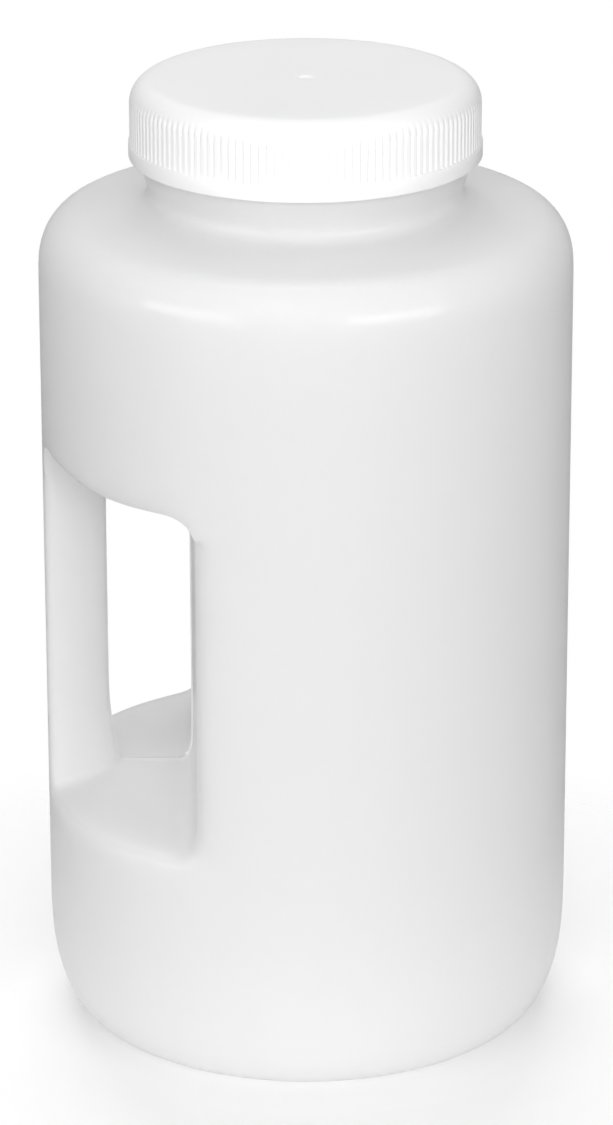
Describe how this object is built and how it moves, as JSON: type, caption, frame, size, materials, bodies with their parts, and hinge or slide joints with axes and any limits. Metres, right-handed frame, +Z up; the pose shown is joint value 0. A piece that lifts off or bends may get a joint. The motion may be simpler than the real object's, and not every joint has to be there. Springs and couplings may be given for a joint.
{
  "type": "reagent bottle",
  "caption": "Wide-mouth round plastic reagent bottle with a pass-through side handle, a ribbed screw closure and a sealing ring.",
  "frame": {"origin": "centre of the ring that the bottle stands on, on the bottle's axis", "axes": "+Z up along the bottle's axis, -X towards the handle, the mould parts on the plane Y = 0"},
  "size_m": [0.16, 0.16, 0.2955],
  "materials": {
    "bottle_plastic": "milky translucent blow-moulded polyethylene",
    "closure_plastic": "opaque white moulded polypropylene",
    "gasket_rubber": "soft white elastomer"
  },
  "bodies": {
    "vessel": {"bottle": "bottle_plastic"},
    "seal": {"gasket": "gasket_rubber"},
    "cap": {"closure": "closure_plastic"}
  },
  "joints": [
    {"name": "cap_rise", "type": "slide", "parent": "vessel", "child": "seal", "axis": [0, 0, 1], "range_m": [0, 0.0256]},
    {"name": "cap_turn", "type": "hinge", "parent": "seal", "child": "cap", "pos_m": [0, 0, 0.28], "axis": [0, 0, 1], "range_deg": [0, 1800]}
  ],
  "couplings": [
    {"joint": "cap_rise", "follows": "cap_turn", "m_per_rad": 0.00080851}
  ]
}
